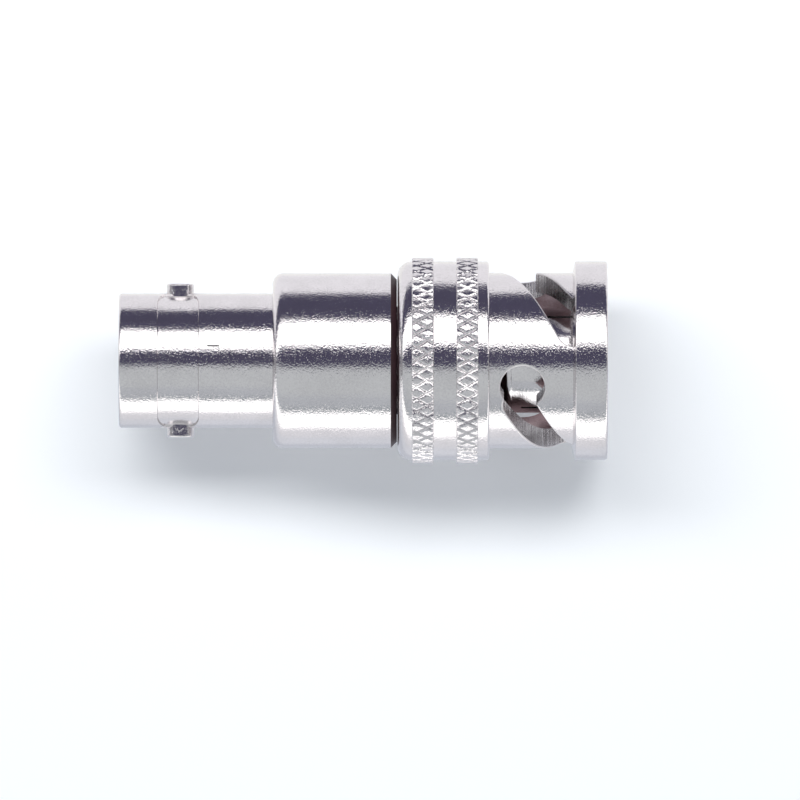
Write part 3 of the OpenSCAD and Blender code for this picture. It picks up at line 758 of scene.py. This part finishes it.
SLOTS = 3
SLOT_PHASE = -71.8
SLOT_W = 2.5
SLOT_NEAR = 13
SLOT_FAR = 82
SLOT_BEHIND = 20
GROOVE_TURN = math.radians(SLOT_PHASE + SLOT_FAR)
SLOT_LOW = 28.72
LOCK_R = 1.705
LOCK_HEIGHT = 28.97
SLOT_RIM = 0.11
SLOT_RIM_END = 0.4
SLOT_RIM_STEPS = 4
GROOVE_FLOOR = 5.75
WALL_STEP = 0.1

KNURL_R = 7.39
KNURL_ROOT = 7.05
KNURL_BANDS = [(21.05, 0.33), (24.25, 0.78)]
KNURL_W = 1.56
KNURL_COUNT = 48
KNURL_CELLS = 16
KNURL_LEAN = math.radians(32)
KNURL_V_DEPTH = 0.085
KNURL_V_HALF = 0.16
KNURL_CROWN = 0.022
KNURL_EDGE = 0.08
KNURL_EASE = (0, 0.25, 0.6, 1)

MILLED = (0.66, 0.65, 0.66, 1)
MILLED_DULL = (0.30, 0.28, 0.29, 1)
# Painted shade: the nickel bore of the nut and the inner faces of its slots are painted a dark reddish grey.
# It stands in for the shade and the warm reflections bounced round inside the nut.
BORE_PAINTED_SHADE = (0.40, 0.295, 0.305, 1)
BORE_PAINTED_SHADE_DULL = (0.30, 0.205, 0.215, 1)
STREAK_SCALE = 48
STREAK_EDGES = (0.38, 0.6)
STREAK_DEPTH = 0.12
BURR_SCALE = 3200
BURR_DEPTH = 0.06
PLAIN, SLOT_WALL, INSIDE, KNURL, SLOT_EDGE = range(5)


def slot_gap(turn, height):
    """Distance from the edge of the nearest slot on the unrolled wall, below zero inside it: the smaller of
    the distance to the slot's straight middle line, less half its width, and to the locking hole's middle,
    less its radius."""
    pitch = 360 / SLOTS
    local = (np.degrees(turn) - SLOT_PHASE + SLOT_BEHIND) % pitch - SLOT_BEHIND
    arc = math.radians(1) * WALL_R
    along, up = local * arc, height
    run = np.array([(SLOT_FAR - SLOT_NEAR) * arc, FLANGE_START - SLOT_LOW])
    share = ((along - SLOT_NEAR * arc) * run[0] + (up - SLOT_LOW) * run[1]) / (run @ run)
    share = np.clip(share, 0, 1)
    line = np.hypot(along - SLOT_NEAR * arc - share * run[0], up - SLOT_LOW - share * run[1]) - SLOT_W / 2
    return np.minimum(line, np.hypot(along, up - LOCK_HEIGHT) - LOCK_R)


def nut_bore(turn, least=1e-6):
    """Radius of the nut's bore behind its mouth: round, but for a flat-bottomed lug groove at each slot."""
    pitch = 2 * np.pi / SLOTS
    off = (turn - GROOVE_TURN + pitch / 2) % pitch - pitch / 2
    side = SLOT_W / 2 / np.maximum(np.abs(np.sin(off)), least)
    return np.maximum(NUT_BORE_R, np.minimum(GROOVE_FLOOR / np.cos(off), side))


def nut_turns():
    """Turns of the nut's columns: even steps, of which the nearest ones are moved to the grooves' corners."""
    count = SLOTS * round(2 * np.pi * WALL_R / WALL_STEP / SLOTS)
    turn = GROOVE_TURN + np.arange(count) * 2 * np.pi / count
    corners = [math.asin(SLOT_W / 2 / NUT_BORE_R), math.atan(SLOT_W / 2 / GROOVE_FLOOR)]
    middles = GROOVE_TURN + np.arange(SLOTS) * 2 * np.pi / SLOTS
    exact = np.concatenate([middles + sign * corner for corner in corners for sign in (-1, 1)])
    exact = turn[0] + (exact - turn[0]) % (2 * np.pi)
    turn[np.round((exact - turn[0]) / (2 * np.pi) * count).astype(int) % count] = exact
    return turn


def nut_shell():
    """Grip, slotted wall and flange on one set of columns. The wall's triangles inside the slots are left
    out. A radial wall closes each slot, behind a rounded rim that runs out to nothing at the flange, and the
    flange's bore follows the lug grooves."""
    turns = nut_turns()
    count = len(turns)
    heights = np.linspace(GRIP_END, FLANGE_START, round((FLANGE_START - GRIP_END) / WALL_STEP) + 1)
    rows = len(heights)
    turn, height, triangles, inside = fitted_wall(turns, heights, WALL_R, slot_gap)
    kept = triangles[~inside]
    along, up = slope_of(slot_gap, turn, height, WALL_R)
    edge = open_edges(kept, rows)
    rim = np.zeros(len(turn))
    rim[edge] = SLOT_RIM * np.clip((FLANGE_START - height[edge]) / SLOT_RIM_END, 0, 1)
    layers = [on_wall(WALL_R, turn, height)]
    for bend in np.linspace(0, math.pi / 2, SLOT_RIM_STEPS + 1)[1:]:
        reach = rim * math.sin(bend)
        radius = WALL_R - rim * (1 - math.cos(bend))
        layers.append(on_wall(radius, turn - reach * along / WALL_R, height - reach * up))
    end_turn, end_height = turn - rim * along / WALL_R, height - rim * up
    layers.append(on_wall(NUT_BORE_R, end_turn, end_height))
    points = np.concatenate(layers)
    size = len(turn)
    a, b = edge.T
    levels = np.arange(len(layers) - 1)[:, None] * size
    sides = np.stack([b + levels, a + levels, a + levels + size, b + levels + size], -1)
    inner = (kept + (len(layers) - 1) * size)[:, ::-1]

    top_turn = turn.reshape(count, rows)[:, -1]
    bore = nut_bore(top_turn)
    flange = outline([
        (WALL_R, FLANGE_START, 0), (FLANGE_R, FLANGE_START + FLANGE_REAR_CONE, FLANGE_REAR_EDGE),
        (FLANGE_R, NUT_TOP, FLANGE_EDGE), (WALL_R, NUT_TOP, 0),
    ])
    rings = [on_wall(radius, top_turn, z) for radius, z in flange[:-1]]
    rings += [on_wall(np.maximum(NUT_BORE_R + NUT_CHAMFER, bore), top_turn, NUT_TOP),
              on_wall(bore, top_turn, NUT_TOP - NUT_CHAMFER), on_wall(bore, top_turn, FLANGE_START)]
    flange_faces = ring_faces(len(rings), count, False)
    ledge = np.concatenate([rings[-1], on_wall(NUT_BORE_R, top_turn, FLANGE_START),
                            on_wall(WALL_R, top_turn, FLANGE_START)])
    open_top = inside.reshape(count, rows - 1, 2)[:, -1, 1]
    here = np.arange(count)
    there = (here + 1) % count
    to_ring = np.where(open_top, 2 * count, count)
    ledge_faces = np.stack([here, there, there + to_ring, here + to_ring], -1)

    grip = outline([
        (NUT_BORE_R, GRIP_END, 0), (NUT_BORE_R, REAR_WALL_END, 0), (WASHER_BORE_R, REAR_WALL_END, 0),
        (WASHER_BORE_R, NUT_REAR, 0), (GRIP_R, NUT_REAR, GRIP_ROUND), (GRIP_R, GRIP_END, GRIP_EDGE),
        (WALL_R, GRIP_END, 0),
    ], steps=10)
    grip_points = np.concatenate([on_wall(radius, turns, z) for radius, z in grip])
    grip_faces = ring_faces(len(grip), count, False)
    bore_rows = 3
    return [(points, kept, PLAIN), (points, inner, INSIDE), (points, sides[:-1].reshape(-1, 4), SLOT_EDGE),
            (points, sides[-1], SLOT_WALL), (np.concatenate(rings), flange_faces, PLAIN),
            (ledge, ledge_faces, PLAIN), (grip_points, grip_faces[bore_rows * count:], PLAIN),
            (grip_points, grip_faces[:bore_rows * count], INSIDE)]


def knurled_band(start, crossing):
    """Ring of pillowed diamonds between V grooves of both hands. The grid steps a share of the pitch along
    the arc and the same share of the grooves' climb up the band, so the grooves follow its cells' diagonals.
    A point lies as deep as the nearer groove's V, plus crowns that fall with the square of the nearness to
    each hand's groove, plus the rounding of the band's edges."""
    pitch = 2 * np.pi * KNURL_R / KNURL_COUNT
    lean = math.tan(KNURL_LEAN)
    climb = pitch / KNURL_CELLS / lean
    cross, end = start + crossing, start + KNURL_W
    steps = cross + climb * np.arange(-KNURL_CELLS * 2, KNURL_CELLS * 2)
    steps = steps[(steps > start + EDGE_CLEAR * KNURL_EDGE) & (steps < end - EDGE_CLEAR * KNURL_EDGE)]
    ease = KNURL_EDGE * np.array(KNURL_EASE)
    heights = np.concatenate([start + ease, steps, end - ease[::-1]])
    columns = KNURL_COUNT * KNURL_CELLS
    arc = np.arange(columns) * pitch / KNURL_CELLS
    above = (heights - cross)[:, None]
    near = [np.abs(((arc - hand * lean * above) / pitch + 0.5) % 1 - 0.5) for hand in (1, -1)]
    valley = KNURL_V_DEPTH * np.maximum(1 - np.minimum(*near) / KNURL_V_HALF, 0)
    crown = KNURL_CROWN * ((1 - 2 * near[0]) ** 2 + (1 - 2 * near[1]) ** 2)
    inset = np.minimum(heights - start, end - heights)[:, None]
    edge = KNURL_EDGE * (1 - np.minimum(inset / KNURL_EDGE, 1)) ** 2
    turn = arc / KNURL_R
    top = on_wall(KNURL_R - np.minimum(valley + crown + edge, KNURL_R - KNURL_ROOT), turn, heights[:, None])

    a, b, c, d = ring_faces(len(heights), columns, False).T
    right_hand = (near[0] < near[1]).ravel()
    leaning = (right_hand[a] & right_hand[c] | right_hand[b] | right_hand[d])[:, None]
    one = np.where(leaning, np.stack([a, b, c], -1), np.stack([a, b, d], -1))
    two = np.where(leaning, np.stack([a, c, d], -1), np.stack([b, c, d], -1))
    sides = np.concatenate([top[-columns:], on_wall(KNURL_ROOT, turn, end), on_wall(KNURL_ROOT, turn, start),
                            top[:columns]])
    return [(top, np.concatenate([one, two]), KNURL), (sides, ring_faces(4, columns, False), KNURL)]


def milled_plating(name):
    """Plating over a milled slot wall: streaks that run straight in from the outer edge, because their noise
    reads the direction from the axis and the height, but not the radius."""
    material = plating(name, peel=4, lines=0, gloss=0.18, matt=0.3, bright=MILLED, dull=MILLED_DULL)
    tree = material.node_tree
    place = place_on(tree)
    around = reckon_vector(tree, "NORMALIZE", reckon_vector(tree, "MULTIPLY", place, (1, 1, 0)))
    upright = reckon_vector(tree, "MULTIPLY", place, (0, 0, 1 / (WALL_R * MM)))
    streak = noise_over(tree, reckon_vector(tree, "ADD", around, upright), STREAK_SCALE, detail=3)["Fac"]
    shade = blended(tree, ranged(tree, streak, *STREAK_EDGES, 0, 1), MILLED_DULL, MILLED)
    tree.links.new(shade, shader_of(tree)["Base Color"])
    bumped(tree, streak, STREAK_DEPTH * MM)
    return material


def knurled_plating(name):
    """Plating over a rolled knurl: under its grain lie the burrs and dents that the rolling leaves."""
    material = plating(name, peel=20, lines=0, gloss=0.17, matt=0.27)
    tree = material.node_tree
    burrs = noise_over(tree, place_on(tree), BURR_SCALE, detail=2)["Fac"]
    bumped(tree, burrs, BURR_DEPTH * MM)
    return material


nut_finishes = [
    plating("nut_nickel", peel=12, lines=3, gloss=0.09, matt=0.14),
    milled_plating("nut_slot_nickel"),
    # The bore's plating carries the painted shade of the nut's inside.
    plating("nut_bore_painted_shade", peel=8, lines=6, gloss=0.3, matt=0.45, bright=BORE_PAINTED_SHADE, dull=BORE_PAINTED_SHADE_DULL),
    knurled_plating("nut_knurl_nickel"),
    plating("nut_rim_nickel", peel=30, lines=0, gloss=0.3, matt=0.42),
]
make_piece("nut_turning", nut_shell() + sum((knurled_band(*band) for band in KNURL_BANDS), []), nut_finishes,
           "nut", "coupling_nut", crease=24)


# Camera: a long lens square to the adapter, which lies across the picture with its jack to the left, so the
# camera is rolled a quarter turn.
VIEW_DISTANCE = 1500
VIEW_SCALE = 13.9
VIEW_HEIGHT = 20.2
VIEW_ASIDE = 2.84
PICTURE = 800
SENSOR = 36

lens = bpy.data.cameras.new("camera")
lens.sensor_width = SENSOR
lens.lens = SENSOR * VIEW_SCALE * VIEW_DISTANCE / PICTURE
lens.clip_start = 0.01
camera = bpy.data.objects.new("camera", lens)
camera.matrix_world = Matrix(((0, -1, 0, VIEW_ASIDE * MM), (0, 0, -1, -VIEW_DISTANCE * MM),
                              (1, 0, 0, VIEW_HEIGHT * MM), (0, 0, 0, 1)))
scene.collection.objects.link(camera)
scene.camera = camera


# Floor and paper: a pale floor under the jack's mouth, and behind the adapter a sheet of white paper that
# takes its shadow. Both are seen only from their front, so they hide nothing from behind or below. The floor
# is tipped by under a degree, so that it is edge-on to the camera and the paper shows on both its sides.
FLOOR_REACH = 200
FLOOR_DROP = 0.02
FLOOR_TIP = (VIEW_HEIGHT + FLOOR_DROP) / (VIEW_DISTANCE - JACK_R)
PAPER_GAP = 7.5
PAPER_ASIDE = 70
PAPER_LOW = -60
PAPER_TOP = 90
PAPER_TONE = (0.93, 0.95, 0.97, 1)
PAPER_GLOW = 0.05
FLOOR_GLOW = 0.32


def paper_finish(name, glow):
    """Matt white whose lit parts reach white for camera rays; the sheet is clear from behind."""
    material = bpy.data.materials.new(name)
    material.use_nodes = True
    tree = material.node_tree
    tree.nodes.clear()
    path = wire(tree, "ShaderNodeLightPath", {})
    matt = wire(tree, "ShaderNodeBsdfDiffuse", {"Color": PAPER_TONE})
    strength = reckon(tree, "MULTIPLY", path.outputs["Is Camera Ray"], glow)
    light = wire(tree, "ShaderNodeEmission", {"Strength": strength})
    face = wire(tree, "ShaderNodeAddShader", {0: matt.outputs[0], 1: light.outputs[0]})
    side = wire(tree, "ShaderNodeNewGeometry", {})
    clear = wire(tree, "ShaderNodeBsdfTransparent", {})
    sheet = wire(tree, "ShaderNodeMixShader", {0: side.outputs["Backfacing"], 1: face.outputs[0],
                                               2: clear.outputs[0]})
    wire(tree, "ShaderNodeOutputMaterial", {"Surface": sheet.outputs[0]})
    return material


def stage_sheet(name, points, faces, material):
    """Sheet that belongs to the stage and not to the adapter, from points in mm."""
    mesh = bpy.data.meshes.new(name)
    mesh.from_pydata(np.asarray(points, float) * MM, [], np.asarray(faces).tolist())
    mesh.materials.append(material)
    sheet = bpy.data.objects.new(name, mesh)
    scene.collection.objects.link(sheet)
    return sheet


def hide_from(thing, *flags):
    """Makes an object invisible to the kinds of ray that these flags name."""
    for flag in flags:
        setattr(thing, flag, False)


floor_x, floor_y = FLOOR_REACH * np.array([[-1, 1, 1, -1], [-1, -1, 1, 1]])
floor_z = -FLOOR_DROP - FLOOR_TIP * (floor_y + JACK_R)
floor = stage_sheet("floor", np.column_stack([floor_x, floor_y, floor_z]), [[0, 1, 2, 3]],
                    paper_finish("floor_paper", FLOOR_GLOW))
hide_from(floor, "visible_glossy", "visible_diffuse", "visible_shadow")
sheet_x = PAPER_ASIDE * np.array([-1, 1, 1, -1])
sheet_z = np.array([PAPER_LOW, PAPER_LOW, PAPER_TOP, PAPER_TOP])
paper = stage_sheet("paper", np.column_stack([sheet_x, np.full(4, PAPER_GAP), sheet_z]), [[0, 1, 2, 3]],
                    paper_finish("back_paper", PAPER_GLOW))
hide_from(paper, "visible_glossy", "visible_diffuse", "visible_transmission", "visible_shadow")


# Studio: two soft boxes and plain cards stand round the adapter, parallel to its axis, and a third box shines
# down along it. Their angles are turns about the axis from the camera. The cards light nothing and give the
# bright plating its dark, grey and white bands.
CARD_REACH = 340
CARD_LOW = -1500
CARD_HIGH = 1540
CARD_COLUMNS = 17
DARK = (0.083, 0.078, 0.127)
CARDS = [
    ("high_card", 99, 150, (0.965, 0.96, 1.0)),
    ("dark_card", 53.5, 99, DARK),
    ("key_card", 18.2, 53.5, (2, 2, 2)),
    ("lens_card", -8.5, 18.2, DARK),
    ("grey_card", -48, -8.5, (0.60, 0.63, 0.645)),
    ("ash_card", -66, -48, (0.535, 0.565, 0.60)),
    ("gap_card", -72.5, -66, (0.33, 0.37, 0.39)),
    ("fill_card", -100.5, -72.5, (1.7, 1.7, 1.7)),
    ("pale_card", -122, -100.5, (0.85, 0.86, 0.90)),
    ("dim_card", -145, -122, (0.77, 0.80, 0.86)),
    ("shade_card", -180, -145, (0.60, 0.63, 0.70)),
]
END_CARDS = [("jack_end_card", CARD_LOW), ("nut_end_card", CARD_HIGH)]
END_CARD_TONE = (0.3, 0.3, 0.32)
END_CARD_SIDES = 36
BOX_REACH = 300
BOXES = [("key_box", 20, 38, -250, 170, 7.2), ("fill_box", -100.5, -72.5, -120, 300, 1.7)]
TOP_BOX = 200
TOP_BOX_RADIANCE = 3
WORLD_SEEN = (1, 1, 1, 1)
WORLD_LIGHT = (0.35, 0.378, 0.415, 1)


def aim(turn):
    """Direction at a turn about the axis from the camera, towards the top of the picture when above zero."""
    turn = np.radians(turn)
    return -np.sin(turn), -np.cos(turn)


def lit_card(name, points, faces, colour):
    """Evenly glowing card that only reflections see: it lights nothing, and the camera doesn't see it."""
    material = bpy.data.materials.new(name)
    material.use_nodes = True
    tree = material.node_tree
    tree.nodes.clear()
    light = wire(tree, "ShaderNodeEmission", {"Color": (*colour, 1), "Strength": 1})
    wire(tree, "ShaderNodeOutputMaterial", {"Surface": light.outputs[0]})
    sheet = stage_sheet(name, points, faces, material)
    hide_from(sheet, "visible_camera", "visible_diffuse", "visible_shadow")


def card(name, start, end, colour):
    """Upright card bent to an arc round the axis."""
    x, y = aim(np.linspace(start, end, CARD_COLUMNS))
    low = np.column_stack([CARD_REACH * x, CARD_REACH * y, np.full(CARD_COLUMNS, CARD_LOW)])
    high = low + [0, 0, CARD_HIGH - CARD_LOW]
    i = np.arange(CARD_COLUMNS - 1)
    faces = np.stack([i, i + 1, i + CARD_COLUMNS + 1, i + CARD_COLUMNS], -1)
    lit_card(name, np.concatenate([low, high]), faces, colour)


def end_card(name, height):
    """Round card across the axis beyond one end of the upright ones."""
    x, y = aim(np.arange(END_CARD_SIDES) * 360 / END_CARD_SIDES)
    rim = np.column_stack([CARD_REACH * x, CARD_REACH * y, np.full(END_CARD_SIDES, height)])
    lit_card(name, rim, [np.arange(END_CARD_SIDES)], END_CARD_TONE)


def lamp_at(name, width, height, radiance, matrix):
    """Area light of an even radiance, which the cards stand for in reflections."""
    lamp = bpy.data.lights.new(name, "AREA")
    lamp.shape = "RECTANGLE"
    lamp.size = width * MM
    lamp.size_y = height * MM
    lamp.energy = radiance * math.pi * lamp.size * lamp.size_y
    box = bpy.data.objects.new(name, lamp)
    box.matrix_world = matrix
    hide_from(box, "visible_glossy")
    scene.collection.objects.link(box)


def soft_box(name, start, end, low, high, radiance):
    """Upright soft box that faces the axis and spans the angles start to end and the heights low to high."""
    width = 2 * BOX_REACH * math.tan(math.radians(end - start) / 2)
    x, y = aim((start + end) / 2)
    lamp_at(name, width, high - low, radiance,
            Matrix(((-y, 0, x, BOX_REACH * x * MM), (x, 0, y, BOX_REACH * y * MM),
                    (0, 1, 0, (low + high) / 2 * MM), (0, 0, 0, 1))))


for row in CARDS:
    card(*row)
for row in END_CARDS:
    end_card(*row)
for row in BOXES:
    soft_box(*row)
lamp_at("top_box", TOP_BOX, TOP_BOX, TOP_BOX_RADIANCE, Matrix.Translation((0, 0, BOX_REACH * MM)))

world = bpy.data.worlds.new("studio")
world.use_nodes = True
sky = world.node_tree
sky.nodes.clear()
path = wire(sky, "ShaderNodeLightPath", {}).outputs
mirrored = reckon(sky, "MAXIMUM", path["Is Glossy Ray"], path["Is Transmission Ray"])
seen = reckon(sky, "MAXIMUM", mirrored, path["Is Camera Ray"])
tone = blended(sky, seen, WORLD_LIGHT, WORLD_SEEN)
backdrop = wire(sky, "ShaderNodeBackground", {"Color": tone, "Strength": 1})
wire(sky, "ShaderNodeOutputWorld", {"Surface": backdrop.outputs[0]})
scene.world = world
scene.view_settings.view_transform = "Standard"
